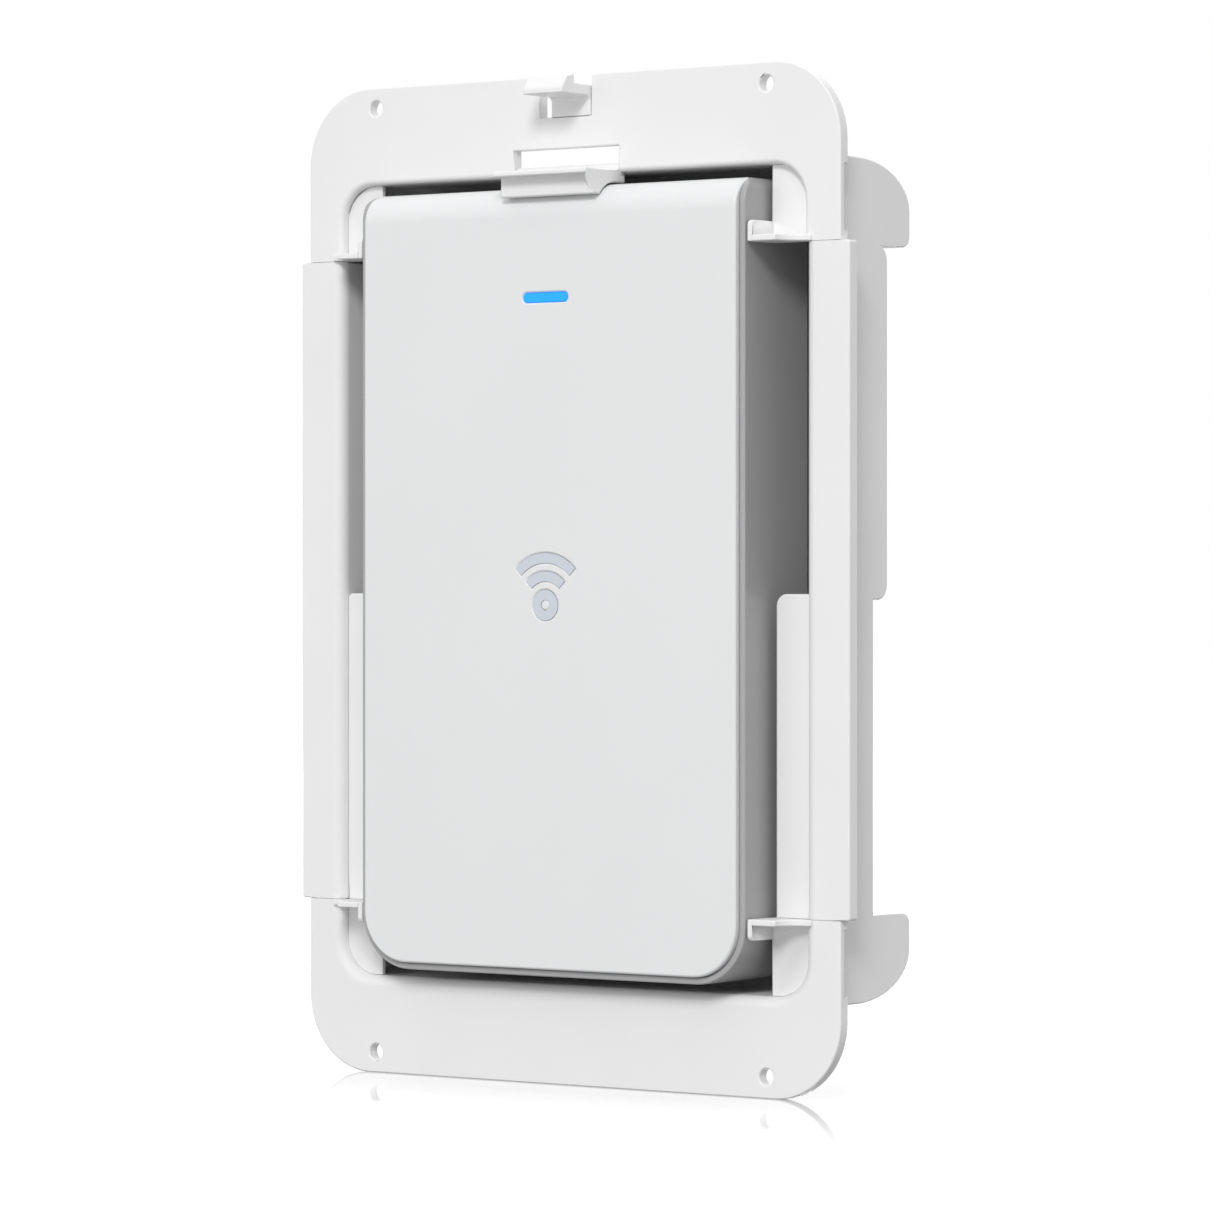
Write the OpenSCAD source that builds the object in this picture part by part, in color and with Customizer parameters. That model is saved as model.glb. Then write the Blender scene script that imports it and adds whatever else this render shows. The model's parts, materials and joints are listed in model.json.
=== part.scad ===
// Recessed wall access point: a radio unit held in a flush-mount frame.
// Y = 0 is the rear face of the flange, the face that lies on the wall.
// +X is right, +Z is up, and the front of the object looks along -Y.

/* [Flange] */
// Width of the flange plate
flange_w = 172.2; // [168:0.2:176]
// Height of the flange plate
flange_h = 264; // [262:0.5:268]
// Corner radius of the flange plate
flange_r = 20.3; // [12:0.1:24]
// Thickness of the flange plate
flange_t = 3.5; // [3:0.1:4]
// Sideways distance between the wall screw holes
hole_dx = 126.8; // [120:0.2:132]
// Vertical distance between the wall screw holes
hole_dz = 253; // [248:0.5:254]
// Diameter of the wall screw holes
hole_d = 4.4; // [3.5:0.1:5]

/* [Opening] */
// Width of the opening in the flange
open_w = 150; // [146:0.5:152]
// Height of the opening in the flange
open_h = 212; // [210:0.5:214]
// Corner radius of the opening
open_r = 9.5; // [6:0.5:12]

/* [Box behind the flange] */
// Outside width of the box
box_w = 160; // [158:0.5:162]
// Wall thickness of the box
wall = 2.2; // [1.8:0.1:2.6]
// Depth of the end pods behind the flange
pod_depth = 38.1; // [36:0.1:42]
// Depth of the upper half of the box
upper_depth = 27.5; // [27:0.1:30]
// Depth of the lower half of the box
lower_depth = 21; // [21:0.1:22]

/* [Side rails] */
// Height of each side rail
rail_h = 172; // [168:0.5:174]
// Overall width across both rails
rail_span = 177.6; // [176:0.2:182]
// Thickness of each rail
rail_t = 3.8; // [3.5:0.1:4]

/* [Radio unit] */
// Width of the front panel
panel_w = 120.2; // [118:0.2:122]
// Height of the front panel
panel_h = 204; // [202:0.5:205]
// Corner radius of the front panel
panel_r = 13.4; // [10:0.1:16]
// Distance of the panel face in front of the wall plane
panel_proud = 12.7; // [12:0.1:14]
// Width of the rim that shows around the panel
rim_w = 1.9; // [1.5:0.1:2.5]
// Depth of the radio unit
unit_depth = 30.2; // [29.8:0.1:30.4]
// Shell thickness of the radio unit
shell = 2; // [1.6:0.1:2.2]

/* [Moving pieces] */
// Width of the retaining hook
hook_w = 30.2; // [28:0.2:33]
// Width of the finger tab
tab_w = 12.7; // [11:0.1:13]
// Travel of the reset button
reset_travel = 0.6; // [0.4:0.1:0.7]

/* [Hidden] */
$fn = 64;

eps = 0.01;
gap = 0.3;                        // clearance between pieces that move
front = -flange_t;                // front face of the flange
opening_x = open_w / 2;
opening_z = open_h / 2;
box_x = box_w / 2;
rail_z = rail_h / 2;              // the rails end here, above and below
pod_oval = [24.5, 13];            // half axes of the rounded rear edge
pod_z = opening_z + wall;         // outside of the pods, above and below
step_z = -5;                      // where the box changes depth
ledge_x = 63.4;                   // inner edge of the corner ledges
ledge_y = [-0.8, 0.8];            // front and rear face of the ledges
wall_x = box_x - wall;            // inside of the box
tab_y = front - 7.3;              // tips of the corner guides
tray_front = lower_depth - 1.8;
tray_front_deep = upper_depth - 1.8;
ear_x = 55;                       // tray screws
ear_z = 94;

panel_y = -panel_proud;
panel_z = 0.7;                    // centre of the panel
roll_r = 8;                       // rolled top edge of the panel
top_r = 1.2;                      // upper corners, seen from the front
unit_back = panel_y + unit_depth;
unit_w = panel_w + 2 * rim_w;
unit_top = panel_z + panel_h / 2;
unit_bottom = panel_z - panel_h / 2 - rim_w;
unit_h = unit_top - unit_bottom;
unit_z = (unit_top + unit_bottom) / 2;
split_y = 6;                      // seam between rim and rear cover
skirt_y = panel_y + roll_r;       // rear end of the panel's skirt

board_y = 5;                      // front face of the main board
board_t = 1.6;
board_back = board_y + board_t;
board_w = 97;
board_z = [-92, 27];
bay_x = 13;                       // half width of the cable bay
bay_z = [27.6, 72];
bay_floor = 3;                    // front end of the cable bay
bay_t = 1.6;
jack_x = 8;
jack_z = [9.4, 27.2];
jack_y = [3.6, 15.2];
cable_hole_d = 26;
cable_hole_z = 50;

hinge_d = 1.6;                    // pins at the two flexing roots
hinge_play = 0.05;
hook_pivot = [-1.75, 106.8];      // y, z
hook_low = 99.9;
hook_span = [16.8 - hook_w, 16.8];
tab_pivot = [-1.45, 120];
tab_x = [7.9 - tab_w, 7.9];
tab_seat_x = [-8.6, 8.3];
tab_seat_z = 121.2;
tab_pocket = [-2.8, 118.6, 121.9];  // front, lower and upper end
rebate = 0.6;                     // depth of the seat of the box in the flange
notch_z = [88.5, 105.2];          // thinned stretch of the flange edge
slot_w = 34;                      // window above the hook
slot_top = 113;
bracket_t = 1.2;
bracket_y = tray_front - bracket_t;
bracket_x = 30;                   // bracket screws
bracket_z = [-72, -18];
hook_x = [34, 42];                // hooks of the bracket
bracket_hook_z = [-80, -16];
latch_pivot = [20.1, -59];        // y, z
reset_at = [30, 40];              // x, z
switch_top = board_back + 2.8;

white = "whitesmoke";
light_grey = "gainsboro";
mid_grey = "darkgray";
steel = "silver";

// ---------- shared shapes ----------

// Removes the material outside a round corner at [x, y].
// sx and sy point from the corner into the body.
module corner_cut(x, y, r, sx, sy) {
    if (r > 0) difference() {
        translate([sx > 0 ? x - 1 : x - r, sy > 0 ? y - 1 : y - r])
            square(r + 1);
        translate([x + sx * r, y + sy * r]) circle(r);
    }
}

// Rectangle from a to b with its own radius at each corner:
// [low-low, high-low, high-high, low-high]
module plate_2d(a, b, r) {
    difference() {
        translate(a) square([b[0] - a[0], b[1] - a[1]]);
        corner_cut(a[0], a[1], r[0], 1, 1);
        corner_cut(b[0], a[1], r[1], -1, 1);
        corner_cut(b[0], b[1], r[2], -1, -1);
        corner_cut(a[0], b[1], r[3], 1, -1);
    }
}

module centred_2d(w, h, r) {
    plate_2d([-w / 2, -h / 2], [w / 2, h / 2], [r, r, r, r]);
}

// Stands a drawing made in X and Z up, and fills it from y0 to y1.
module along_y(y0, y1) {
    translate([0, y1, 0]) rotate([90, 0, 0]) linear_extrude(y1 - y0) children();
}

// Stands a drawing made in Y and Z up, and fills it from x0 to x1.
module along_x(x0, x1) {
    translate([x0, 0, 0]) rotate([90, 0, 90]) linear_extrude(x1 - x0) children();
}

module block(x, y, z) {
    translate([x[0], y[0], z[0]]) cube([x[1] - x[0], y[1] - y[0], z[1] - z[0]]);
}

module rod_y(x, z, d, y0, y1) {
    translate([x, y1, z]) rotate([90, 0, 0]) cylinder(d = d, h = y1 - y0);
}

module rod_x(y, z, d, x0, x1) {
    translate([x0, y, z]) rotate([0, 90, 0]) cylinder(d = d, h = x1 - x0);
}

module both_sides() {
    children();
    mirror([1, 0, 0]) children();
}

module both_ends() {
    children();
    mirror([0, 0, 1]) children();
}

module four_corners() {
    both_sides() both_ends() children();
}

// Screw along Y with its head towards the front.
module front_screw(x, z, head_y, head_t, d, length) {
    difference() {
        rod_y(x, z, d * 1.9, head_y, head_y + head_t);
        rod_y(x, z, d * 0.7, head_y - 1, head_y + head_t * 0.6);
    }
    rod_y(x, z, d, head_y + head_t - eps, head_y + head_t + length);
}

// ---------- flush-mount frame ----------

// Outline of an end pod in Y and Z, shrunk by inset, starting at y0.
// The pods stand in a shallow rebate of the flange.
module pod_2d(inset, y0) {
    rear = pod_depth - inset;
    top = pod_z - inset;
    half = [pod_oval[0] - inset, pod_oval[1] - inset];
    difference() {
        plate_2d([y0, rail_z + inset], [rear, top], [0, 3, 0, 0]);
        polygon(concat([[rear + 1, top + 1], [rear - half[0], top + 1]],
                       [for (a = [90:-6:0]) [rear - half[0] * (1 - cos(a)),
                                             top - half[1] * (1 - sin(a))]],
                       [[rear + 1, top - half[1]]]));
    }
}

module window_and_hook_seat() {
    block([-slot_w / 2, slot_w / 2], [front - 1, 2.6], [opening_z - 1, slot_top]);
}

// End of the flange above the rails, with its two wall screw holes.
module flange_end() {
    difference() {
        along_y(front, 0) difference() {
            centred_2d(flange_w, flange_h, flange_r);
            centred_2d(open_w, open_h, open_r);
            translate([-flange_w, -flange_h]) square([2 * flange_w, flange_h + rail_z]);
        }
        both_sides() {
            block([flange_w / 2 - 2.6, flange_w], [-1.6, 1], notch_z);
            rod_y(hole_dx / 2, hole_dz / 2, hole_d, front - 1, 1);
        }
        block([-box_x - 0.05, box_x + 0.05], [-rebate, 1], [0, pod_z + 0.05]);
    }
}

module upper_flange() {
    color(white) difference() {
        flange_end();
        window_and_hook_seat();
        rod_x(hook_pivot[0], hook_pivot[1], hinge_d + 2 * hinge_play,
              -slot_w / 2 - 1.6, slot_w / 2 + 1.6);
        block(tab_seat_x, [front - 1, 1], [tab_seat_z, flange_h]);
        block([tab_x[0] - 0.2, tab_x[1] + 0.2], [tab_pocket[0], 1],
              [tab_pocket[1], tab_pocket[2]]);
        rod_x(tab_pivot[0], tab_pivot[1], hinge_d + 2 * hinge_play,
              tab_x[0] - 2.2, tab_x[1] + 2.2);
    }
}

module lower_flange() {
    color(white) mirror([0, 0, 1]) flange_end();
}

// L-shaped guide that stands forward of one corner of the opening.
module corner_guide() {
    web_x = [ledge_x - 0.9, opening_x + 2.5];
    translate([0, 0, rail_z]) linear_extrude(1.6) difference() {
        plate_2d([web_x[0], tab_y], [web_x[1], front], [2, 0, 0, 0]);
        translate([web_x[1], tab_y]) circle(front - tab_y - 0.8);
    }
    block([web_x[0], opening_x - 0.1], [front - eps, ledge_y[0] + eps],
          [rail_z, rail_z + 1.6]);
    along_x(web_x[0], web_x[0] + 1.4)
        plate_2d([tab_y, rail_z], [ledge_y[0] + eps, rail_z + 5.5],
                 [0, 0, 0, 1.5]);
}

module corner_guides() {
    color(white) four_corners() {
        corner_guide();
        along_y(ledge_y[0], ledge_y[1])
            plate_2d([ledge_x, rail_z], [opening_x - 0.1, opening_z - 0.1],
                     [0, 0, open_r, 0]);
        block([opening_x - open_r, wall_x - 0.1], [-rebate + 0.05, ledge_y[1]],
              [rail_z + 0.1, opening_z - 0.1]);
    }
}

// Deep end of the box behind the flange. Its step starts behind the tray.
module end_box(tray_depth) {
    difference() {
        union() {
            along_x(-box_x + eps, box_x - eps) difference() {
                pod_2d(0, -rebate);
                pod_2d(wall, -1);
                translate([-1, rail_z - 1])
                    square([tray_depth + 1.2, wall + 1 + eps]);
            }
            both_sides() along_x(wall_x, box_x) pod_2d(0, -rebate);
            both_sides()
                rod_y(ear_x, ear_z, 7, tray_depth, pod_depth - wall + eps);
        }
        both_sides() rod_y(ear_x, ear_z, 3.1, tray_depth - 1, tray_depth + 9);
    }
}

module upper_rear_box() {
    color(white) difference() {
        end_box(upper_depth);
        window_and_hook_seat();
    }
}

module lower_rear_box() {
    color(white) mirror([0, 0, 1]) end_box(lower_depth);
}

module side_wall() {
    start = rail_t - flange_t + 0.1;
    along_x(wall_x, box_x) {
        plate_2d([start, step_z], [upper_depth, rail_z], [0, 4, 4, 0]);
        plate_2d([start, -rail_z], [lower_depth, step_z + 1], [0, 0, 0, 0]);
    }
}

module left_side_wall() {
    color(white) mirror([1, 0, 0]) side_wall();
}

module right_side_wall() {
    color(white) side_wall();
}

// Bar that covers the front edge of a box side wall.
module side_rail() {
    outer = rail_span / 2;
    z_end = rail_z - 0.1;
    along_y(front, front + rail_t)
        plate_2d([opening_x, -z_end], [outer, z_end], [0.5, 0.8, 0.8, 0.5]);
    block([box_x + 0.2, box_x + 1.8], [0, 7], [-z_end + 6, z_end - 6]);
    block([opening_x, opening_x + 1.6],
          [front + rail_t - eps, tray_front - 0.2], [-z_end, z_end]);
}

module left_side_rail() {
    color(white) mirror([1, 0, 0]) side_rail();
}

module right_side_rail() {
    color(white) side_rail();
}

// Infill between the lower half of the unit and the side rail.
module filler_strip() {
    inner = 64.6;
    y0 = front + 2.7;
    top = -3.5;
    along_y(y0, y0 + 1.8)
        plate_2d([inner, -rail_z + 0.1], [opening_x - 0.15, top], [0.3, 0.3, 1, 3]);
    block([opening_x - 2.2, opening_x - 0.2], [y0, tray_front - 0.1],
          [-rail_z + 0.1, top - 4]);
}

module left_filler_strip() {
    color(white) mirror([1, 0, 0]) filler_strip();
}

module right_filler_strip() {
    color(white) filler_strip();
}

module tray_ear(y0) {
    along_y(y0, y0 + 1.8) difference() {
        plate_2d([ear_x - 6, rail_z - 2], [ear_x + 6, ear_z + 6], [0, 0, 4, 4]);
        translate([ear_x, ear_z]) circle(d = 3.2);
    }
}

module rear_tray() {
    half = box_x - wall - 0.1;
    color(light_grey) difference() {
        union() {
            block([-half, half], [tray_front, lower_depth],
                  [-rail_z + 0.1, step_z + 1.8]);
            block([-half, half], [tray_front_deep, upper_depth],
                  [step_z, rail_z - 0.1]);
            block([-half, half], [tray_front, upper_depth],
                  [step_z, step_z + 1.8]);
            both_sides() tray_ear(tray_front_deep);
            mirror([0, 0, 1]) both_sides() tray_ear(tray_front);
        }
        rod_y(0, cable_hole_z, cable_hole_d, tray_front, upper_depth + 1);
        block([-8, 8], [tray_front - 1, lower_depth + 1], [-84, -57]);
        rod_x(latch_pivot[0], latch_pivot[1], 1 + 2 * hinge_play, -10, 10);
        bracket_holes(2.3, tray_front - 1, lower_depth + 1);
    }
}

module tray_screws() {
    color(steel) {
        both_sides() front_screw(ear_x, ear_z, tray_front_deep - 1.5, 1.5, 3, 8);
        both_sides() front_screw(ear_x, -ear_z, tray_front - 1.5, 1.5, 3, 8);
    }
}

// Hook over the top edge of the unit, on two short pins. Its underside
// follows the rolled edge of the front panel.
module retaining_hook() {
    lip_y = panel_y - 5.3;
    wall_y = panel_y - 1.5;
    z = hook_pivot[1];
    strap = [z - 1.7, z - 0.3];
    color(white) {
        along_x(hook_span[0], hook_span[1]) {
            plate_2d([lip_y, strap[0]], [hook_pivot[0], strap[1]], [0.4, 0, 0, 0.6]);
            difference() {
                plate_2d([wall_y, hook_low], [-0.3, strap[0] + 0.5],
                         [0.5, 0, 0, 0]);
                translate([panel_y + roll_r, unit_top - roll_r])
                    circle(r = roll_r + 0.5);
                translate([panel_y + roll_r, hook_low - 1])
                    square([10, unit_top + 1.5 - hook_low]);
            }
        }
        along_x(hook_span[1] - 1.3, hook_span[1])
            polygon([[lip_y + 0.7, strap[0] + eps], [wall_y, hook_low + 0.6],
                     [wall_y + 1, hook_low + 0.6], [wall_y + 1, strap[0] + eps]]);
        rod_x(hook_pivot[0], z, flange_t - 0.1, 0.1 - slot_w / 2, slot_w / 2 - 0.1);
        rod_x(hook_pivot[0], z, hinge_d, -slot_w / 2 - 1.3, slot_w / 2 + 1.3);
    }
}

// Tab that a finger pulls on. Its root turns on two short pins in a
// pocket behind the flange.
module finger_tab() {
    shelf = [126.3, 129.2];
    tip_y = front - 12.5;
    root_t = 2.2;
    lip = [tip_y + 2.2, tip_y + 5.5];
    color(white) {
        along_x(tab_x[0], tab_x[1]) {
            translate(tab_pivot) circle(d = root_t);
            translate([tab_pivot[0] - root_t / 2, tab_pivot[1]])
                square([root_t, 2.5]);
            plate_2d([front, tab_seat_z + 0.3], [0, shelf[1]], [0, 0, 2.2, 0]);
            difference() {
                plate_2d([front - 1.5, shelf[0] - 1.5], [front + eps, shelf[0] + 1],
                         [0, 0, 0, 0]);
                translate([front - 1.5, shelf[0] - 1.5]) circle(r = 1.5);
            }
            polygon([[tip_y, shelf[0]], [front, shelf[0]], [front, shelf[1]],
                     [lip[1], shelf[1]], [lip[1], 131.6], [lip[0], 130.8],
                     [tip_y, shelf[0] + 1.5]]);
        }
        rod_x(tab_pivot[0], tab_pivot[1], hinge_d, tab_x[0] - 2, tab_x[1] + 2);
    }
}

// ---------- bracket on the tray ----------

module bracket_holes(d, y0, y1) {
    both_sides() for (z = bracket_z) rod_y(bracket_x, z, d, y0, y1);
}

// Bent hook that reaches through a slot in the rear cover.
module bracket_hook(z) {
    inside = unit_back - shell - 1.3;
    block([hook_x[0], hook_x[1]], [inside, bracket_y + eps], [z, z + bracket_t]);
    block([hook_x[0], hook_x[1]], [inside, inside + 1], [z, z + 3]);
}

module mounting_bracket() {
    color(steel) {
        difference() {
            along_y(bracket_y, bracket_y + bracket_t)
                plate_2d([-44.5, -84], [44.5, -6], [4, 4, 4, 4]);
            bracket_holes(2.4, bracket_y - 1, tray_front + 1);
            block([-9, 9], [bracket_y - 1, tray_front + 1], [-82, -58]);
        }
        both_sides() for (z = bracket_hook_z) bracket_hook(z);
    }
}

module bracket_screws() {
    color(steel) both_sides() for (z = bracket_z)
        front_screw(bracket_x, z, bracket_y - 0.4, 0.4, 2.2, 2.8);
}

// Leaf spring whose nose drops into the rear cover.
module release_latch() {
    y = latch_pivot[0];
    z = latch_pivot[1];
    leaf = [y - 1.9, y - 1.1];
    nose_y = y - 4.2;
    color(steel) {
        block([-5, 5], leaf, [z - 20, z]);
        block([-5, 5], [leaf[0], y], [z - 0.8, z + 0.6]);
        along_x(-4, 4)
            polygon([[leaf[0] + 0.1, z - 19], [leaf[0] + 0.1, z - 13],
                     [nose_y, z - 18], [nose_y, z - 19]]);
        rod_x(y, z, 1.6, -7.6, 7.6);
        rod_x(y, z, 1, -9.7, 9.7);
    }
}

// ---------- radio unit ----------

module unit_2d(inset) {
    r = panel_r + rim_w - inset;
    t = max(top_r + rim_w - inset, 0.5);
    plate_2d([-unit_w / 2 + inset, unit_bottom + inset],
             [unit_w / 2 - inset, unit_top - inset], [r, r, t, t]);
}

module panel_2d(inset) {
    r = panel_r - inset;
    t = max(top_r - inset, 0.4);
    plate_2d([-panel_w / 2 + inset, panel_z - panel_h / 2 + inset],
             [panel_w / 2 - inset, unit_top - inset], [r, r, t, t]);
}

// The panel's outline from y0 to y1, with its upper front edge rolled over.
module rolled_panel(inset, y0, y1) {
    difference() {
        along_y(y0, y1) panel_2d(inset);
        along_x(-panel_w, panel_w)
            corner_cut(y0, unit_top - inset, skirt_y - y0, 1, -1);
    }
}

lens_w = 14.3;
lens_h = 2.4;
lens_z = 73.6;
mark_z = -1.5;
mark_step = 4.8;

module lens_2d(extra) {
    translate([0, lens_z])
        centred_2d(lens_w + 2 * extra, lens_h + 2 * extra, lens_h / 2 + extra - eps);
}

// Three nested arches, as a plain sign for radio.
module mark_2d(extra) {
    for (i = [0:2]) translate([0, mark_z - 5]) intersection() {
        difference() {
            circle(mark_step * i + 4 + extra);
            circle(mark_step * i + 1.4 - extra);
        }
        if (i > 0) polygon([[0, -extra], [-30, 30 - extra], [30, 30 - extra]]);
    }
}

module post_holes_2d(d) {
    for (at = housing_screw_at) translate(at) circle(d = d);
}

module front_cover() {
    color(white) difference() {
        union() {
            difference() {
                rolled_panel(0, panel_y, skirt_y);
                rolled_panel(1.8, panel_y + 2.2, skirt_y + eps);
            }
            along_y(panel_y + 2, split_y - 0.05) post_holes_2d(6);
        }
        along_y(split_y - 12, split_y) post_holes_2d(2.5);
        along_y(panel_y - 1, panel_y + 3) lens_2d(0.1);
        along_y(panel_y - 1, panel_y + 0.4) mark_2d(0.02);
    }
}

module light_lens() {
    color("deepskyblue") along_y(panel_y + 0.05, panel_y + 3) lens_2d(0);
}

module front_mark() {
    color("lightsteelblue") along_y(panel_y + 0.02, panel_y + 0.4) mark_2d(0);
}

module housing_rim() {
    color(mid_grey) difference() {
        along_y(panel_y + 1.6, split_y) unit_2d(0);
        along_y(panel_y, skirt_y + 0.1) panel_2d(-0.15);
        along_y(skirt_y, split_y + 1) unit_2d(shell);
        along_x(-unit_w, unit_w)
            corner_cut(panel_y + 1.6, unit_top, roll_r - 1.4, 1, -1);
    }
}

module rear_cover() {
    color(mid_grey) difference() {
        union() {
            difference() {
                along_y(split_y, unit_back) unit_2d(0);
                along_y(split_y - 1, unit_back - shell) unit_2d(shell);
            }
            along_y(split_y, unit_back - 1) post_holes_2d(6);
        }
        block([-bay_x - bay_t - 0.1, bay_x + bay_t + 0.1],
              [unit_back - shell - 1, unit_back + 1],
              [bay_z[0] - 0.4, bay_z[1] + bay_t + 0.1]);
        rod_y(reset_at[0], reset_at[1], 3.6, 10, unit_back + 1);
        block([-6.5, 6.5], [unit_back - shell - 1, unit_back + 1], [-81, -70.5]);
        both_sides() for (z = bracket_hook_z)
            block([hook_x[0] - 0.5, hook_x[1] + 0.5],
                  [unit_back - shell - 1, unit_back + 1], [z - 0.5, z + 6]);
        along_y(split_y - 1, unit_back + 1) post_holes_2d(2.8);
        along_y(unit_back - 2.2, unit_back + 1) post_holes_2d(5);
        along_y(unit_back - 0.3, unit_back + 1) label_2d();
    }
}

// Cup around the plug, open towards the back and towards the jack.
module cable_bay_box() {
    color(mid_grey) difference() {
        block([-bay_x - bay_t, bay_x + bay_t], [bay_floor, unit_back],
              [bay_z[0] - 0.3, bay_z[1] + bay_t]);
        block([-bay_x, bay_x], [bay_floor + bay_t, unit_back + 1],
              [bay_z[0] - 1, bay_z[1]]);
    }
}

module label_2d() {
    plate_2d([-30, -60], [30, -26], [2, 2, 2, 2]);
}

module label_plate() {
    color("white") along_y(unit_back - 0.3, unit_back - 0.05) label_2d();
}

housing_screw_at = [
    for (x = [-52, 52]) for (z = [-90, 0, 89]) [x, z]
];

// Screws along Y with their heads towards the back.
module housing_screws() {
    color(steel) for (at = housing_screw_at) {
        difference() {
            rod_y(at[0], at[1], 4.6, unit_back - 2.1, unit_back - 0.5);
            rod_y(at[0], at[1], 1.9, unit_back - 1.5, unit_back);
        }
        rod_y(at[0], at[1], 2.4, split_y - 5, unit_back - 2.1 + eps);
    }
}

board_screw_at = [for (x = [-46, 46]) for (z = [-84, 20]) [x, z]];

module main_board() {
    color("darkgreen") along_y(board_y, board_back) difference() {
        union() {
            plate_2d([-board_w / 2, board_z[0]], [board_w / 2, board_z[1]],
                     [2, 2, 2, 2]);
            plate_2d([22, board_z[1] - 5], [40, reset_at[1] + 6], [0, 0, 2, 2]);
        }
        translate([-jack_x - 0.2, jack_z[0] - 0.2])
            square([2 * jack_x + 0.4, 20]);
        for (at = board_screw_at) translate(at) circle(d = 2.6);
    }
}

module board_screws() {
    color(steel) for (at = board_screw_at) {
        rod_y(at[0], at[1], 4.4, board_back, board_back + 1.4);
        rod_y(at[0], at[1], 2.4, board_y - 4.5, board_back + eps);
    }
}

// Socket whose mouth looks up into the cable bay.
module ethernet_jack() {
    mouth_x = 5.9;
    color(steel) difference() {
        block([-jack_x, jack_x], jack_y, jack_z);
        block([-mouth_x, mouth_x], [jack_y[0] + 2.2, jack_y[0] + 9],
              [jack_z[0] + 3.2, jack_z[1] + 1]);
        block([-3.1, 3.1], [jack_y[0] + 8.9, jack_y[0] + 10.6],
              [jack_z[0] + 3.2, jack_z[1] + 1]);
    }
}

module jack_contacts() {
    pitch = 1.02;
    color("gold") for (i = [0:7])
        block([(i - 3.5) * pitch - 0.2, (i - 3.5) * pitch + 0.2],
              [jack_y[0] + 2.2, jack_y[0] + 2.9],
              [jack_z[0] + 3.2, jack_z[1] - 2]);
}

module shield_can(x, z) {
    y = [board_y - 2.6, board_y];
    difference() {
        block(x, y, z);
        block([x[0] + 0.3, x[1] - 0.3], [y[0] + 0.3, y[1] + 1],
              [z[0] + 0.3, z[1] - 0.3]);
    }
}

processor_can = [[-22, 22], [-30, 4]];
radio_can = [[-40, 40], [-78, -38]];

module processor_shield() {
    color(steel) shield_can(processor_can[0], processor_can[1]);
}

module radio_shield() {
    color(steel) shield_can(radio_can[0], radio_can[1]);
}

module thermal_pads() {
    color("lightpink") for (can = [processor_can, radio_can])
        block([can[0][0] + 4, can[0][1] - 4], [board_y - 3.5, board_y - 2.6],
              [can[1][0] + 4, can[1][1] - 4]);
}

module heat_spreader() {
    back = board_y - 3.5;
    color("lightgray") difference() {
        union() {
            along_y(back - 1.8, back)
                difference() {
                    plate_2d([-54, -93], [54, 24], [6, 6, 3, 3]);
                    post_holes_2d(6.6);
                }
            for (at = board_screw_at) rod_y(at[0], at[1], 6, back - eps, board_y);
        }
        for (at = board_screw_at) rod_y(at[0], at[1], 2.5, 0.5, board_y + 1);
        block([-jack_x - 1, jack_x + 1], [-1, 4], [jack_z[0] - 1, 30]);
    }
}

carrier_y = [-4.6, -3.4];         // front and rear face of the carrier

module antenna_carrier() {
    color("ivory") along_y(carrier_y[0], carrier_y[1]) difference() {
        plate_2d([-56, -96], [56, 98], [10, 10, 10, 10]);
        post_holes_2d(6.6);
        translate([0, -35]) centred_2d(60, 50, 4);
        translate([0, lens_z]) centred_2d(20, 9, 2);
    }
}

// Folded patch: a flat plate on two legs.
module patch_antenna(x, z, w, h, rise) {
    translate([x, 0, z]) {
        block([-w / 2, w / 2], [carrier_y[0] - rise, carrier_y[0] - rise + 0.4],
              [-h / 2, h / 2]);
        for (s = [-1, 1]) translate([s * (w / 2 - 1.5), 0, 0])
            block([-0.8, 0.8], [carrier_y[0] - rise, carrier_y[0]], [-1, 1]);
    }
}

module low_band_antennas() {
    color("goldenrod") both_sides() patch_antenna(33, 82, 28, 20, 4);
}

module mid_band_antennas() {
    color("goldenrod") both_sides() patch_antenna(40, 14, 16, 16, 3.5);
}

module high_band_antennas() {
    color("goldenrod") both_sides() patch_antenna(44, -80, 12, 12, 3);
}

// Thin leads laid along the front of the heat spreader's edge.
module coax_leads() {
    lead_d = 1.2;
    y = -1.5;
    color("dimgray") both_sides() {
        rod_between([18, y, 40], [18, y, 76], lead_d);
        rod_between([18, y, 76], [28, y, 80], lead_d);
        rod_between([18, y, 40], [22, y, 26], lead_d);
        rod_between([22, y, 26], [22, y, -60], lead_d);
        for (p = [[18, y, 40], [18, y, 76], [22, y, 26]])
            translate(p) sphere(d = lead_d * 1.3);
    }
}

module rod_between(a, b, d) {
    v = b - a;
    translate(a) rotate([0, acos(v[2] / norm(v)), atan2(v[1], v[0])])
        cylinder(d = d, h = norm(v));
}

module led_board() {
    color("darkgreen") block([-13, 13], [carrier_y[1], carrier_y[1] + 1],
                             [lens_z - 6, lens_z + 6]);
}

module light_guide() {
    color("azure") along_y(panel_y + 3.1, carrier_y[1] - 0.1) lens_2d(0.4);
}

module reset_switch() {
    color("dimgray") {
        block([reset_at[0] - 3, reset_at[0] + 3], [board_back, board_back + 2],
              [reset_at[1] - 3, reset_at[1] + 3]);
        rod_y(reset_at[0], reset_at[1], 2, board_back + 2 - eps, switch_top);
    }
}

module reset_button() {
    start = switch_top + reset_travel + 0.2;
    color(light_grey) {
        rod_y(reset_at[0], reset_at[1], 3.4, start, unit_back - 0.3);
        rod_y(reset_at[0], reset_at[1], 5.4, unit_back - shell - 2.4,
              unit_back - shell - 0.1);
    }
}

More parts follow.
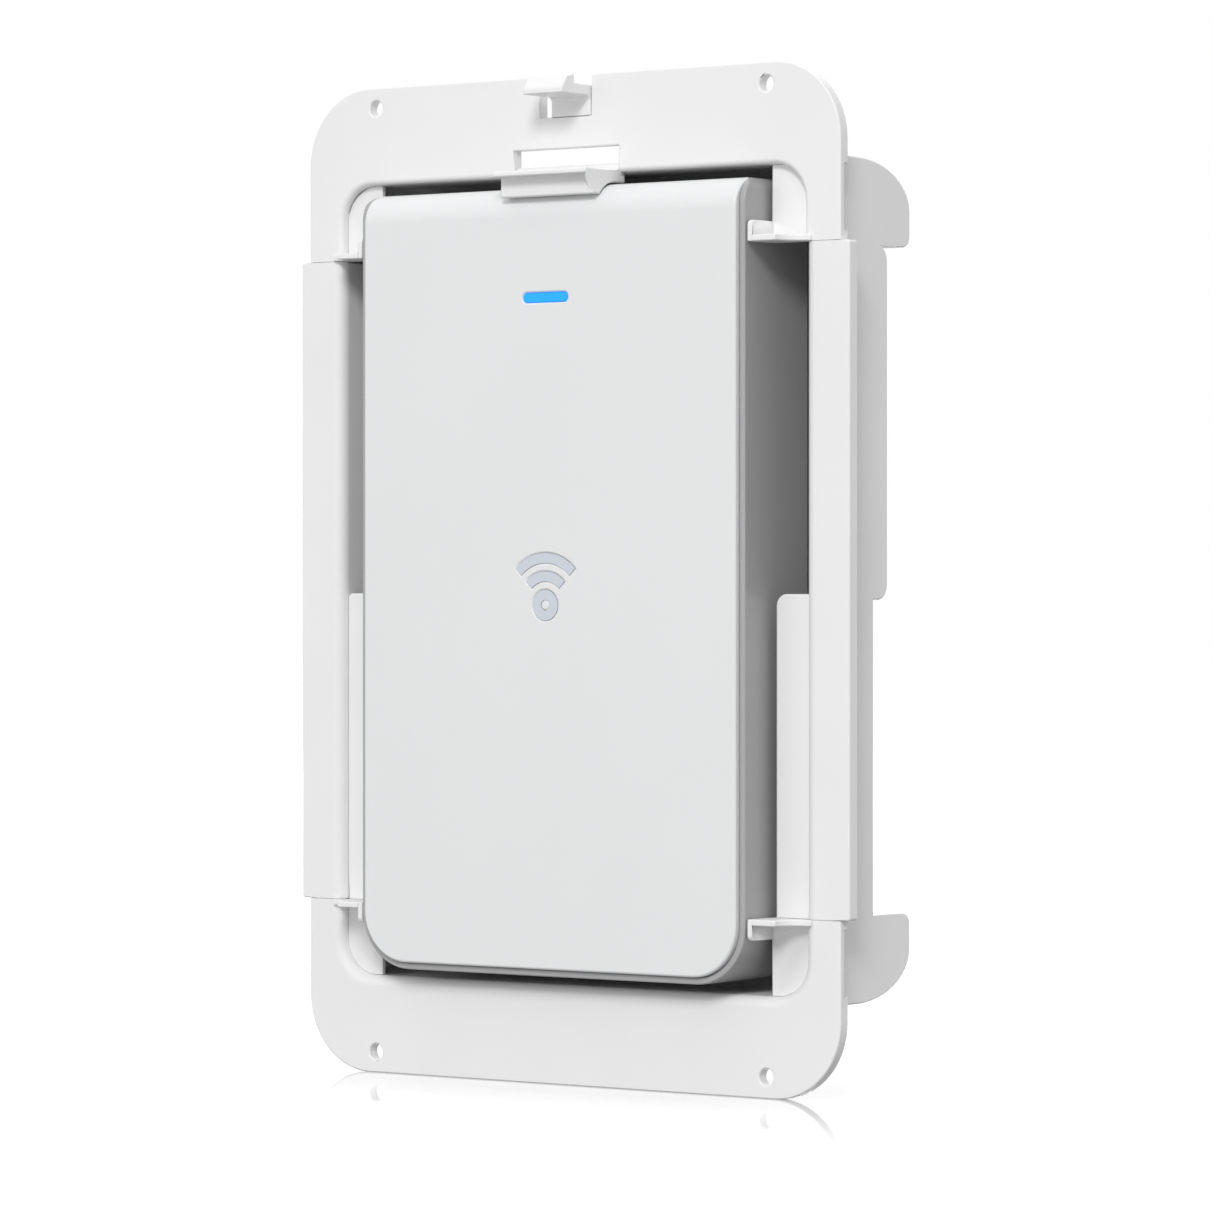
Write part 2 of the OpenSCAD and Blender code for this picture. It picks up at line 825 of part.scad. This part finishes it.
upper_flange();
lower_flange();
corner_guides();
upper_rear_box();
lower_rear_box();
left_side_wall();
right_side_wall();
left_side_rail();
right_side_rail();
left_filler_strip();
right_filler_strip();
rear_tray();
tray_screws();
retaining_hook();
finger_tab();
mounting_bracket();
bracket_screws();
release_latch();
front_cover();
light_lens();
front_mark();
housing_rim();
rear_cover();
cable_bay_box();
label_plate();
housing_screws();
main_board();
board_screws();
ethernet_jack();
jack_contacts();
processor_shield();
radio_shield();
thermal_pads();
heat_spreader();
antenna_carrier();
low_band_antennas();
mid_band_antennas();
high_band_antennas();
coax_leads();
led_board();
light_guide();
reset_switch();
reset_button();
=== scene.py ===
import json
import math

import bmesh
import bpy
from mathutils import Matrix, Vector
from mathutils.bvhtree import BVHTree


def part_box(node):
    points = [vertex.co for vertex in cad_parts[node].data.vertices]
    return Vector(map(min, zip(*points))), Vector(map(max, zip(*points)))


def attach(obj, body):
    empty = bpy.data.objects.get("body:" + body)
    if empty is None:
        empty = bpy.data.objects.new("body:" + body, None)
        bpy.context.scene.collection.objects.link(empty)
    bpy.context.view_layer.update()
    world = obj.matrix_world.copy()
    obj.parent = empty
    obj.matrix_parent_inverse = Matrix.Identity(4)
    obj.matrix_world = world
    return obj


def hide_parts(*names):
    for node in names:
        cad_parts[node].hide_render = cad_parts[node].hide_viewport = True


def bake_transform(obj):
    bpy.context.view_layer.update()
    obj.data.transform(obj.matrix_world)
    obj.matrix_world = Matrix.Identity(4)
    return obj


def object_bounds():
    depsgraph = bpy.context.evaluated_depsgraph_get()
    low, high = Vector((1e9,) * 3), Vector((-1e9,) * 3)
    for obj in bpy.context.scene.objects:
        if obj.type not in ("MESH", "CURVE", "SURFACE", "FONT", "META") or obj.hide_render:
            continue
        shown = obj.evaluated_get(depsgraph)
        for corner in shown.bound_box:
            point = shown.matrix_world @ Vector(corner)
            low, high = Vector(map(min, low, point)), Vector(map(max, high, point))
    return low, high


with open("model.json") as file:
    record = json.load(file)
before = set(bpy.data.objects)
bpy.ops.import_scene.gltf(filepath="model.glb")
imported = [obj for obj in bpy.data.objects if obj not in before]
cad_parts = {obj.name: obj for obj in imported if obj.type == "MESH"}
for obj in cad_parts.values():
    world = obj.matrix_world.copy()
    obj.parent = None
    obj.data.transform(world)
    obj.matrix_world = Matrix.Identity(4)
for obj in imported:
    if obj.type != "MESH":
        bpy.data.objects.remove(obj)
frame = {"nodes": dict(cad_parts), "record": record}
cad_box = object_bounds()
record = frame["record"]
nodes = frame["nodes"]
MM = 0.001

# Where things are, in millimetres
FRONT = -3.5                      # front face of the flange
OPENING = (75.0, 106.0)           # half the opening in the flange
TAB_SEAT_Z = 121.2                # where the finger tab grows out of the flange
WHITE = (1, 1, 1, 1)


# ---------- camera, light and floor ----------

def make_camera():
    azimuth = math.radians(36.5)
    distance = 1431.7 * MM
    back = Vector((math.sin(azimuth), -math.cos(azimuth), 0))
    aim = Vector((0, FRONT * MM, 0))
    data = bpy.data.cameras.new("camera")
    data.sensor_width = 36
    data.lens = 162.4
    data.shift_x = 0.0338
    data.shift_y = -0.0220
    data.clip_start = 0.05
    data.clip_end = 50
    cam = bpy.data.objects.new("camera", data)
    bpy.context.collection.objects.link(cam)
    cam.location = aim + back * distance
    cam.rotation_mode = "QUATERNION"
    cam.rotation_quaternion = (-back).to_track_quat("-Z", "Y")
    bpy.context.scene.camera = cam


def make_floor():
    size = 6.0
    bottom = cad_box[0][2]
    mesh = bpy.data.meshes.new("floor")
    corners = [(-size, -size, bottom), (size, -size, bottom),
               (size, size, bottom), (-size, size, bottom)]
    mesh.from_pydata(corners, [], [(0, 1, 2, 3)])
    floor = bpy.data.objects.new("floor", mesh)
    bpy.context.collection.objects.link(floor)
    look = Look("floor", (0.93, 0.93, 0.93), 0.5)
    look.set(Specular_IOR_Level=0, Emission_Color=WHITE, Emission_Strength=0.36)
    # a faint mirror image that fades out a little way in front of and behind the part
    mirror = 0.72
    fade_start, fade_end = 0.02, 0.17
    reach = look.node("ShaderNodeVectorMath", operation="LENGTH")
    look.link(look.coords((0.3, 1, 0)), reach.inputs[0])
    fade = look.span(reach.outputs["Value"], mirror, 0.0, fade_start, fade_end)
    gloss = look.node("ShaderNodeBsdfGlossy")
    gloss.inputs["Color"].default_value = WHITE
    gloss.inputs["Roughness"].default_value = 0.03
    mix = look.node("ShaderNodeMixShader")
    look.link(fade, mix.inputs[0])
    look.link(look.shader.outputs[0], mix.inputs[1])
    look.link(gloss.outputs[0], mix.inputs[2])
    look.link(mix.outputs[0], look.output.inputs[0])
    mesh.materials.append(look.mat)
    # the floor shows the part's shadow and image but doesn't light or shade it
    floor.visible_diffuse = False
    floor.visible_shadow = False


def area_light(name, at, target, size, power):
    data = bpy.data.lights.new(name, "AREA")
    data.shape = "RECTANGLE"
    data.size = data.size_y = size
    data.energy = power
    light = bpy.data.objects.new(name, data)
    bpy.context.collection.objects.link(light)
    light.location = at
    direction = Vector(target) - Vector(at)
    light.rotation_mode = "QUATERNION"
    light.rotation_quaternion = direction.to_track_quat("-Z", "Y")


def make_light():
    world = bpy.data.worlds.new("studio")
    bpy.context.scene.world = world
    world.use_nodes = True
    tree = world.node_tree
    background = tree.nodes["Background"]
    background.inputs[0].default_value = WHITE
    # weaker light from below than from above, and plain white to the camera and reflections
    sky = tree.nodes.new("ShaderNodeSeparateXYZ")
    coords = tree.nodes.new("ShaderNodeTexCoord")
    grade = tree.nodes.new("ShaderNodeMapRange")
    for name, value in (("From Min", -0.5), ("From Max", 0.7), ("To Min", 0.25), ("To Max", 0.82)):
        grade.inputs[name].default_value = value
    tree.links.new(coords.outputs["Generated"], sky.inputs[0])
    tree.links.new(sky.outputs["Z"], grade.inputs["Value"])
    path = tree.nodes.new("ShaderNodeLightPath")
    seen = tree.nodes.new("ShaderNodeMath")
    seen.operation = "MAXIMUM"
    level = tree.nodes.new("ShaderNodeMix")
    level.inputs[3].default_value = 1.0
    tree.links.new(path.outputs["Is Camera Ray"], seen.inputs[0])
    tree.links.new(path.outputs["Is Glossy Ray"], seen.inputs[1])
    tree.links.new(seen.outputs[0], level.inputs[0])
    tree.links.new(grade.outputs["Result"], level.inputs[2])
    tree.links.new(level.outputs[0], background.inputs[1])
    area_light("key", at=(1.45, -2.7, 1.9), target=(0, 0, 0), size=0.9, power=62)
    area_light("fill", at=(-0.9, -1.8, 0.2), target=(0, 0, 0), size=1.2, power=3.5)
    area_light("back", at=(-0.9, 2.2, 1.1), target=(0, 0, 0), size=1.2, power=16)
    area_light("low", at=(0.35, -1.7, -0.45), target=(0, 0, -0.10), size=0.9, power=3)
    scene = bpy.context.scene
    scene.view_settings.view_transform = "Standard"
    scene.view_settings.look = "None"
    scene.view_settings.exposure = 0
    scene.view_settings.gamma = 1


# ---------- materials ----------

class Look:
    """A material with a Principled shader and a few helpers for its nodes."""

    def __init__(self, name, color, roughness, metallic=0.0):
        self.mat = bpy.data.materials.new(name)
        self.mat.use_nodes = True
        self.tree = self.mat.node_tree
        self.shader = self.tree.nodes["Principled BSDF"]
        self.output = self.tree.nodes["Material Output"]
        self.color = color
        self.shader.inputs["Base Color"].default_value = (*color, 1)
        self.shader.inputs["Roughness"].default_value = roughness
        self.shader.inputs["Metallic"].default_value = metallic

    def node(self, kind, **settings):
        n = self.tree.nodes.new(kind)
        for key, value in settings.items():
            setattr(n, key, value)
        return n

    def link(self, a, b):
        self.tree.links.new(a, b)

    def coords(self, stretch=None):
        source = self.node("ShaderNodeTexCoord").outputs["Object"]
        if stretch is None:
            return source
        mapping = self.node("ShaderNodeMapping")
        mapping.inputs["Scale"].default_value = stretch
        self.link(source, mapping.inputs["Vector"])
        return mapping.outputs["Vector"]

    def noise(self, size_mm, detail=2.0, stretch=None):
        n = self.node("ShaderNodeTexNoise")
        n.inputs["Scale"].default_value = 1 / (size_mm * MM)
        n.inputs["Detail"].default_value = detail
        self.link(self.coords(stretch), n.inputs["Vector"])
        return n.outputs["Fac"]

    def span(self, value, low, high, start=0.3, end=0.7):
        n = self.node("ShaderNodeMapRange")
        for name, v in (("From Min", start), ("From Max", end), ("To Min", low), ("To Max", high)):
            n.inputs[name].default_value = v
        self.link(value, n.inputs["Value"])
        return n.outputs["Result"]

    def mix(self, factor, first, second):
        n = self.node("ShaderNodeMix", data_type="RGBA")
        for socket, value in ((n.inputs[0], factor), (n.inputs[6], first), (n.inputs[7], second)):
            if isinstance(value, tuple):
                socket.default_value = (*value, 1)
            elif isinstance(value, (int, float)):
                socket.default_value = value
            else:
                self.link(value, socket)
        return n.outputs[2]

    def tint(self, value, spread, start=0.3, end=0.7):
        """Varies the base colour by a share of itself."""
        low = tuple(c * (1 - spread) for c in self.color)
        high = tuple(min(1, c * (1 + spread)) for c in self.color)
        self.paint(self.mix(self.span(value, 0, 1, start, end), low, high))

    def paint(self, socket):
        self.link(socket, self.shader.inputs["Base Color"])

    def rough(self, value, low, high):
        self.link(self.span(value, low, high), self.shader.inputs["Roughness"])

    def bump(self, value, height_mm, strength=1.0, below=None):
        n = self.node("ShaderNodeBump")
        n.inputs["Strength"].default_value = strength
        n.inputs["Distance"].default_value = height_mm * MM
        self.link(value, n.inputs["Height"])
        if below is not None:
            self.link(below, n.inputs["Normal"])
        self.link(n.outputs["Normal"], self.shader.inputs["Normal"])
        return n.outputs["Normal"]

    def set(self, **values):
        for name, value in values.items():
            self.shader.inputs[name.replace("_", " ")].default_value = value


def plastic(name, color, roughness, grain=0.3, depth=0.006, flow=0.012, specular=0.4):
    """Moulded plastic: fine spark-eroded grain over a faint flow pattern."""
    look = Look(name, color, roughness)
    look.set(Specular_IOR_Level=specular)
    look.tint(look.noise(38, 3), flow)
    look.rough(look.noise(6, 3), roughness - 0.04, roughness + 0.05)
    below = look.bump(look.noise(26, 1), 0.03, 0.5)
    look.bump(look.noise(grain, 2), depth, 0.6, below)
    return look


def brushed(name, color, roughness, stretch, grain=0.25, depth=0.004):
    """Rolled or brushed metal, with its lines along one axis."""
    look = Look(name, color, roughness, 1.0)
    lines = look.noise(grain, 3, stretch)
    look.tint(lines, 0.08)
    look.rough(lines, roughness - 0.08, roughness + 0.1)
    look.bump(lines, depth, 0.5)
    return look


def circuit_board(name, mask, bare, copper):
    """Solder mask over copper tracks, with small bare pads."""
    look = Look(name, mask, 0.32)
    look.set(Coat_Weight=0.35, Coat_Roughness=0.12)
    tracks = look.node("ShaderNodeTexBrick")
    tracks.inputs["Scale"].default_value = 260
    tracks.inputs["Mortar Size"].default_value = 0.06
    tracks.inputs["Color1"].default_value = (0, 0, 0, 1)
    tracks.inputs["Color2"].default_value = (0.35, 0.35, 0.35, 1)
    tracks.inputs["Mortar"].default_value = (1, 1, 1, 1)
    swizzle = look.node("ShaderNodeMapping")
    swizzle.inputs["Rotation"].default_value = (math.radians(90), 0, 0)
    look.link(look.coords(), swizzle.inputs["Vector"])
    look.link(swizzle.outputs["Vector"], tracks.inputs["Vector"])
    zone = look.span(look.noise(9, 1), 0, 1, 0.45, 0.55)
    lit = look.mix(tracks.outputs["Color"], mask, bare)
    base = look.mix(zone, mask, lit)
    spots = look.node("ShaderNodeTexVoronoi")
    spots.inputs["Scale"].default_value = 330
    look.link(look.coords(), spots.inputs["Vector"])
    pad = look.span(spots.outputs["Distance"], 1, 0, 0.16, 0.19)
    look.paint(look.mix(pad, base, copper))
    look.rough(look.noise(4, 2), 0.26, 0.38)
    look.bump(tracks.outputs["Fac"], 0.02, 0.5)
    return look


def make_looks():
    looks = {
        "frame_white": plastic("frame_white", (0.80, 0.80, 0.80), 0.46),
        # the inner parts' dark grey is partly their own colour and partly painted shade for the
        # deep, shaded inside of the rear box
        "frame_inner": plastic("frame_inner", (0.40, 0.40, 0.405), 0.5, grain=0.4, depth=0.008),
        "cover_white": plastic("cover_white", (0.735, 0.74, 0.745), 0.4, grain=0.22, depth=0.004,
                               flow=0.006),
        "housing_grey": plastic("housing_grey", (0.36, 0.36, 0.365), 0.32, grain=0.25,
                                depth=0.005, specular=0.5),
        "mark_grey": plastic("mark_grey", (0.56, 0.60, 0.66), 0.38, grain=0.2, depth=0.002),
        "label_white": plastic("label_white", (0.78, 0.78, 0.77), 0.55, grain=0.15, depth=0.003),
        "carrier_plastic": plastic("carrier_plastic", (0.52, 0.51, 0.47), 0.5, grain=0.35,
                                   depth=0.01),
        "pad_pink": plastic("pad_pink", (0.62, 0.36, 0.42), 0.75, grain=0.5, depth=0.03,
                            flow=0.08),
        "lead_black": plastic("lead_black", (0.025, 0.025, 0.027), 0.42, grain=0.4, depth=0.01,
                              flow=0.2),
        "switch_black": plastic("switch_black", (0.03, 0.03, 0.032), 0.38, grain=0.3,
                                depth=0.008, flow=0.2),
        "steel": brushed("steel", (0.58, 0.58, 0.59), 0.3, (1, 1, 0.05)),
        "tin_plate": brushed("tin_plate", (0.72, 0.72, 0.70), 0.3, (0.08, 1, 1), grain=0.4),
        "spreader": brushed("spreader", (0.70, 0.71, 0.72), 0.38, (1, 1, 0.04), grain=0.3),
        "contact_gold": brushed("contact_gold", (0.83, 0.60, 0.24), 0.24, (1, 1, 0.1), grain=0.1,
                                depth=0.002),
        "antenna_brass": brushed("antenna_brass", (0.74, 0.58, 0.30), 0.32, (0.06, 1, 1)),
        "board_green": circuit_board("board_green", (0.015, 0.12, 0.06), (0.04, 0.24, 0.12),
                                     (0.78, 0.62, 0.30)),
    }
    lens = plastic("light_blue", (0.0, 0.22, 0.90), 0.35, grain=0.2, depth=0.003)
    glow = lens.mix(lens.span(lens.noise(9, 2), 0.9, 1.1), (0.0, 0.19, 0.9), (0.0, 0.26, 1.0))
    lens.link(glow, lens.shader.inputs["Emission Color"])
    lens.set(Emission_Strength=0.78)
    looks["light_blue"] = lens
    clear = plastic("guide_clear", (0.86, 0.90, 0.93), 0.12, grain=0.6, depth=0.004)
    clear.set(Transmission_Weight=0.8, IOR=1.49)
    looks["guide_clear"] = clear
    return looks


# ---------- pieces ----------

def joined_up(node):
    """The CAD node's mesh with its coincident points merged."""
    bm = bmesh.new()
    bm.from_mesh(nodes[node].data)
    bmesh.ops.remove_doubles(bm, verts=bm.verts, dist=2e-6)
    return bm


def weld(node):
    """The CAD node's mesh, joined up and with its flat faces made whole."""
    bm = joined_up(node)
    bmesh.ops.dissolve_limit(bm, angle_limit=math.radians(0.6), verts=bm.verts, edges=bm.edges)
    bm.normal_update()
    return bm


FRAME_NODES = ("upper_flange", "lower_flange", "corner_guides", "upper_rear_box",
               "lower_rear_box", "left_side_wall", "right_side_wall", "left_side_rail",
               "right_side_rail", "left_filler_strip", "right_filler_strip")
CASE_NODES = ("housing_rim", "rear_cover")
trees = {}


def surface_tree(node):
    if node not in trees:
        bm = bmesh.new()
        bm.from_mesh(nodes[node].data)
        trees[node] = BVHTree.FromBMesh(bm)
        bm.free()
    return trees[node]


def against_neighbour(node, edge, reach=0.17):
    """True where an edge lies on the next piece, so that the seam stays closed."""
    group = next((g for g in (FRAME_NODES, CASE_NODES) if node in g), ())
    a, b = edge.verts[0].co, edge.verts[1].co
    for other in group:
        if other == node:
            continue
        tree = surface_tree(other)
        touching = sum(1 for t in (0.2, 0.5, 0.8)
                       if tree.find_nearest(a.lerp(b, t), reach * MM)[0] is not None)
        if touching >= 2:
            return True
    return False


def middle_of(edge):
    return (edge.verts[0].co + edge.verts[1].co) / 2 / MM


def sharp_edges(bm, test, angle=30):
    """Convex edges sharper than angle whose middle, in millimetres, passes the test."""
    limit = math.radians(angle)
    found = []
    for edge in bm.edges:
        if not edge.is_manifold or edge.calc_face_angle(0) < limit or not edge.is_convex:
            continue
        if test(*middle_of(edge)):
            found.append(edge)
    return found


def finish_piece(bm, name, node, bevel, segments=2, angle=30, keep=None, rigid=True,
                 stands_for=True, slot=None):
    """Makes a piece from bm, with its sharp edges rounded except where keep(x, y, z) is true.

    It stands for the CAD node, or is detail that is moulded or soldered onto the node.
    """
    slot = slot or next(s["material_slot"] for s in record["subparts"] if s["node"] == node)
    layer = bm.edges.layers.float.new("bevel_weight_edge")
    for edge in sharp_edges(bm, lambda x, y, z: True, angle):
        kept = keep is not None and keep(*middle_of(edge))
        edge[layer] = 0.0 if kept or against_neighbour(node, edge) else 1.0
    mesh = bpy.data.meshes.new(name)
    bm.to_mesh(mesh)
    bm.free()
    mesh.polygons.foreach_set("use_smooth", [True] * len(mesh.polygons))
    mesh.set_sharp_from_angle(angle=math.radians(angle))
    piece = bpy.data.objects.new(name, mesh)
    bpy.context.collection.objects.link(piece)
    mesh.materials.append(looks[slot].mat)
    if bevel:
        mod = piece.modifiers.new("edges", "BEVEL")
        mod.width = bevel * MM
        mod.segments = segments
        mod.limit_method = "WEIGHT"
        mod.use_clamp_overlap = False
        mod.miter_outer = "MITER_ARC"
        level = piece.modifiers.new("normals", "WEIGHTED_NORMAL")
        level.keep_sharp = True
    if rigid:
        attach(piece, body_by_node[node])
    if stands_for:
        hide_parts(node)
    return piece


def refined(node, bevel):
    """A CAD node with its edges rounded."""
    finish_piece(weld(node), node + "_piece", node, bevel)


def cut_across(bm, point, normal):
    geom = bm.verts[:] + bm.edges[:] + bm.faces[:]
    bmesh.ops.bisect_plane(bm, geom=geom, dist=1e-6, plane_co=point, plane_no=normal)


# ---------- flange, rails and finger tab ----------

def on_opening(x, y, z):
    """True on the front edge of the flange's opening, clear of the rails' ends."""
    near_front = abs(y - FRONT) < 0.2
    inside = abs(x) < OPENING[0] + 0.3 and abs(z) < OPENING[1] + 0.3
    return near_front and inside and abs(z) > 86.5


def at_tab_seat(x, y, z):
    return abs(z - TAB_SEAT_Z) < 0.1 and abs(x) < 12


def flange(node, roll=3.2, steps=7):
    """Half of the flange, whose front face rolls over into the opening."""
    bm = weld(node)
    bmesh.ops.bevel(bm, geom=sharp_edges(bm, on_opening), offset=roll * MM, segments=steps,
                    profile=0.5, affect="EDGES", clamp_overlap=True)
    bm.normal_update()
    finish_piece(bm, node + "_piece", node, 0.35, keep=at_tab_seat)


def rolled_rail(node, roll=3.2, steps=9):
    """A side rail whose front face rolls over into the opening."""
    bm = weld(node)
    side = -1 if node.startswith("left") else 1
    for i in range(steps):
        across = OPENING[0] + roll * (1 - math.sin(math.pi / 2 * i / steps))
        cut_across(bm, (side * across * MM, 0, 0), (1, 0, 0))
    for v in bm.verts:
        inward = roll - (abs(v.co.x) / MM - OPENING[0])
        if abs(v.co.y / MM - FRONT) < 0.05 and inward > 0:
            v.co.y = (FRONT + roll - math.sqrt(max(roll ** 2 - inward ** 2, 0))) * MM
    bm.normal_update()
    finish_piece(bm, node + "_piece", node, 0.35, keep=lambda x, y, z: (
        abs(x) < OPENING[0] + roll + 0.1 and y < FRONT + roll + 0.1))


def flexing_tab():
    """The tab runs into the flange without a gap and has extra edge rings just above its root."""
    bm = weld("finger_tab")
    seat = TAB_SEAT_Z * MM
    cad_gap, sunk, web = 0.3 * MM, 0.15 * MM, 2.6 * MM
    for v in bm.verts:
        if abs(v.co.z - seat - cad_gap) < 0.05 * MM:
            v.co.z = seat - sunk
    for height in (0.4, 0.8, 1.3, 1.8, 2.4):
        cut_across(bm, (0, 0, seat + height * MM), (0, 0, 1))
    bm.normal_update()
    piece = finish_piece(bm, "finger_tab_piece", "finger_tab", 0.35, 3, rigid=False,
                         keep=lambda x, y, z: z < TAB_SEAT_Z + 0.1)
    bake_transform(piece)


# ---------- screws ----------

def islands(node):
    """The separate solids of a node, each as a list of points in millimetres."""
    bm = joined_up(node)
    left = set(bm.verts)
    found = []
    while left:
        stack = [left.pop()]
        group = []
        while stack:
            v = stack.pop()
            group.append(v.co / MM)
            for edge in v.link_edges:
                other = edge.other_vert(v)
                if other in left:
                    left.remove(other)
                    stack.append(other)
        found.append(group)
    bm.free()
    found.sort(key=lambda g: (round(sum(c.x for c in g) / len(g), 1),
                              round(sum(c.z for c in g) / len(g), 1)))
    return found


def ring_about_y(bm, x, z, radius, y, steps, depth=lambda angle: 0):
    """A ring of points about a line along Y, each moved along Y by depth(angle)."""
    ring = []
    for i in range(steps):
        angle = 2 * math.pi * i / steps
        ring.append(bm.verts.new(((x + radius * math.cos(angle)) * MM, (y + depth(angle)) * MM,
                                  (z + radius * math.sin(angle)) * MM)))
    return ring


def join_rings(bm, first, second):
    steps = len(first)
    for i in range(steps):
        j = (i + 1) % steps
        bm.faces.new((first[i], first[j], second[j], second[i]))


def screw(bm, points, steps=40):
    """A cross-recess screw with a rounded head and a rolled thread, in place of a CAD solid."""
    x = (min(c.x for c in points) + max(c.x for c in points)) / 2
    z = (min(c.z for c in points) + max(c.z for c in points)) / 2

    def reach(c):
        return math.hypot(c.x - x, c.z - z)

    head_r = max(reach(c) for c in points)
    head = [c.y for c in points if reach(c) > head_r * 0.9]
    low, high = min(c.y for c in points), max(c.y for c in points)
    up = 1 if max(head) > (low + high) / 2 else -1
    tip, top = (low, high) if up > 0 else (high, low)
    seat = min(head) if up > 0 else max(head)
    head_t = abs(top - seat)
    shank_r = max(reach(c) for c in points if abs(c.y - tip) < 0.05)
    core_r = shank_r * 0.8
    crest_r = shank_r * 0.96
    pitch = shank_r * 0.34
    point = 0.3                      # length of the tapered tip

    profile = [(core_r * 0.6, tip), (core_r, tip + up * point)]
    for i in range(int((abs(seat - tip) - 2 * point) / pitch)):
        at = tip + up * (point + pitch * i)
        profile += [(core_r, at + up * pitch * 0.15), (crest_r, at + up * pitch * 0.5),
                    (core_r, at + up * pitch * 0.85)]
    profile += [(core_r, seat), (head_r * 0.97, seat), (head_r, seat + up * head_t * 0.2),
                (head_r * 0.98, seat + up * head_t * 0.6),
                (head_r * 0.88, top - up * head_t * 0.1)]
    rings = [ring_about_y(bm, x, z, radius, y, steps) for radius, y in profile]

    recess_r, recess_w, recess_t = head_r * 0.62, head_r * 0.13, head_t * 0.55
    for share in (0.76, 0.64, 0.58, 0.46, 0.34, 0.22, 0.1):
        radius = head_r * share

        def cross(angle, radius=radius):
            off_arm = min(abs(math.cos(angle)), abs(math.sin(angle))) * radius
            return -up * recess_t if off_arm < recess_w and radius < recess_r else 0

        rings.append(ring_about_y(bm, x, z, radius, top, steps, cross))
    for first, second in zip(rings, rings[1:]):
        join_rings(bm, first, second)
    bm.faces.new(rings[0])
    bm.faces.new(rings[-1])


def screws(node):
    bm = bmesh.new()
    for points in islands(node):
        screw(bm, points)
    bmesh.ops.recalc_face_normals(bm, faces=bm.faces)
    finish_piece(bm, node + "_piece", node, 0, angle=40)


# ---------- detail on the tray and on the main board ----------

def add_box(bm, low, high):
    made = bmesh.ops.create_cube(bm, size=1)["verts"]
    for v in made:
        v.co = Vector([(low[k] if v.co[k] < 0 else high[k]) * MM for k in range(3)])


def add_collar(bm, x, z, inner, outer, y0, y1, steps=64):
    corners = ((inner, y0), (outer, y0), (outer, y1), (inner, y1))
    rings = [ring_about_y(bm, x, z, radius, y, steps) for radius, y in corners]
    for first, second in zip(rings, rings[1:] + rings[:1]):
        join_rings(bm, first, second)


def tray_ribs():
    """Moulded stiffening ribs and a collar round the cable hole, on the back of the tray."""
    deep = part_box("rear_tray")[1][1] / MM
    shallow = deep - 6.5             # back of the tray's lower half
    half, proud, root = 0.7, 0.9, 0.1
    hole_z = 50
    bm = bmesh.new()
    for x in (-62, -46, -30, 30, 46, 62):
        add_box(bm, (x - half, deep - root, 2), (x + half, deep + proud, 80))
    for x in (-62, -46, 46, 62):
        add_box(bm, (x - half, shallow - root, -82), (x + half, shallow + proud, -9))
    for z in (10, 24):
        add_box(bm, (-29.2, deep - root, z - half), (29.2, deep + proud, z + half))
    add_collar(bm, 0, hole_z, 13.3, 16, deep - root, deep + 1.2)
    add_collar(bm, 0, hole_z, 19, 19.8, deep - root, deep + 0.4)
    bmesh.ops.recalc_face_normals(bm, faces=bm.faces)
    finish_piece(bm, "rear_tray_ribs", "rear_tray", 0.25, stands_for=False)


def board_parts():
    """Small chips, inductors and capacitors on the back of the main board."""
    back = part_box("main_board")[1][1] / MM
    solder = 0.02
    row_w = 76
    bm = bmesh.new()

    def part(x, z, w, h, t):
        add_box(bm, (x - w / 2, back - solder, z - h / 2), (x + w / 2, back + t, z + h / 2))

    # rows of small parts: height on the board, how many, then each one's size
    for z, count, w, h, t in ((-74, 9, 2.0, 1.2, 0.7), (-66, 7, 3.2, 1.6, 0.9),
                              (-34, 10, 1.6, 0.8, 0.6), (-27, 8, 2.0, 1.2, 0.7),
                              (-4, 9, 1.6, 0.8, 0.5), (2, 6, 3.2, 2.5, 1.2)):
        for i in range(count):
            stagger = 1.3 if i % 3 == 1 else 0
            part(-row_w / 2 + row_w * (i + 0.5) / count + stagger, z, w, h, t)
    # larger chips, inductors and a transformer
    for x, z, w, h, t in ((-24, -50, 12, 12, 1.0), (4, -52, 9, 9, 0.9), (27, -50, 14, 10, 1.1),
                          (-28, -14, 8, 6, 1.0), (-6, -16, 6, 6, 2.6), (8, -16, 6, 6, 2.6),
                          (30, -14, 10, 8, 3.2)):
        part(x, z, w, h, t)
    bmesh.ops.recalc_face_normals(bm, faces=bm.faces)
    finish_piece(bm, "board_parts", "main_board", 0.12, stands_for=False, slot="switch_black")


# ---------- the whole part ----------

# Edge radii in millimetres, where a piece doesn't take the usual one
EDGE = {"front_cover": 0.5, "housing_rim": 0.35, "corner_guides": 0.3, "main_board": 0.1,
        "light_lens": 0.15, "front_mark": 0.04, "rear_tray": 0.5, "label_plate": 0.1,
        "jack_contacts": 0.05, "thermal_pads": 0.2, "reset_switch": 0.1, "led_board": 0.1}
FRAME_EDGE = 0.4
USUAL_EDGE = 0.25
FLANGE_NODES = ("upper_flange", "lower_flange")
RAIL_NODES = ("left_side_rail", "right_side_rail")
SCREW_NODES = ("tray_screws", "bracket_screws", "housing_screws", "board_screws")


def edge_of(sub):
    framed = sub["material_slot"] in ("frame_white", "frame_inner")
    return EDGE.get(sub["node"], FRAME_EDGE if framed else USUAL_EDGE)


def make_pieces():
    for node in FLANGE_NODES:
        flange(node)
    for node in RAIL_NODES:
        rolled_rail(node)
    flexing_tab()
    tray_ribs()
    board_parts()
    for node in SCREW_NODES:
        screws(node)
    done = {*FLANGE_NODES, *RAIL_NODES, *SCREW_NODES, "finger_tab"}
    for sub in record["subparts"]:
        if sub["node"] not in done:
            refined(sub["node"], edge_of(sub))


looks = make_looks()
body_by_node = {name: body for body, members in record["behaviour"]["bodies"].items()
                for name in members}
make_pieces()
make_camera()
make_floor()
make_light()
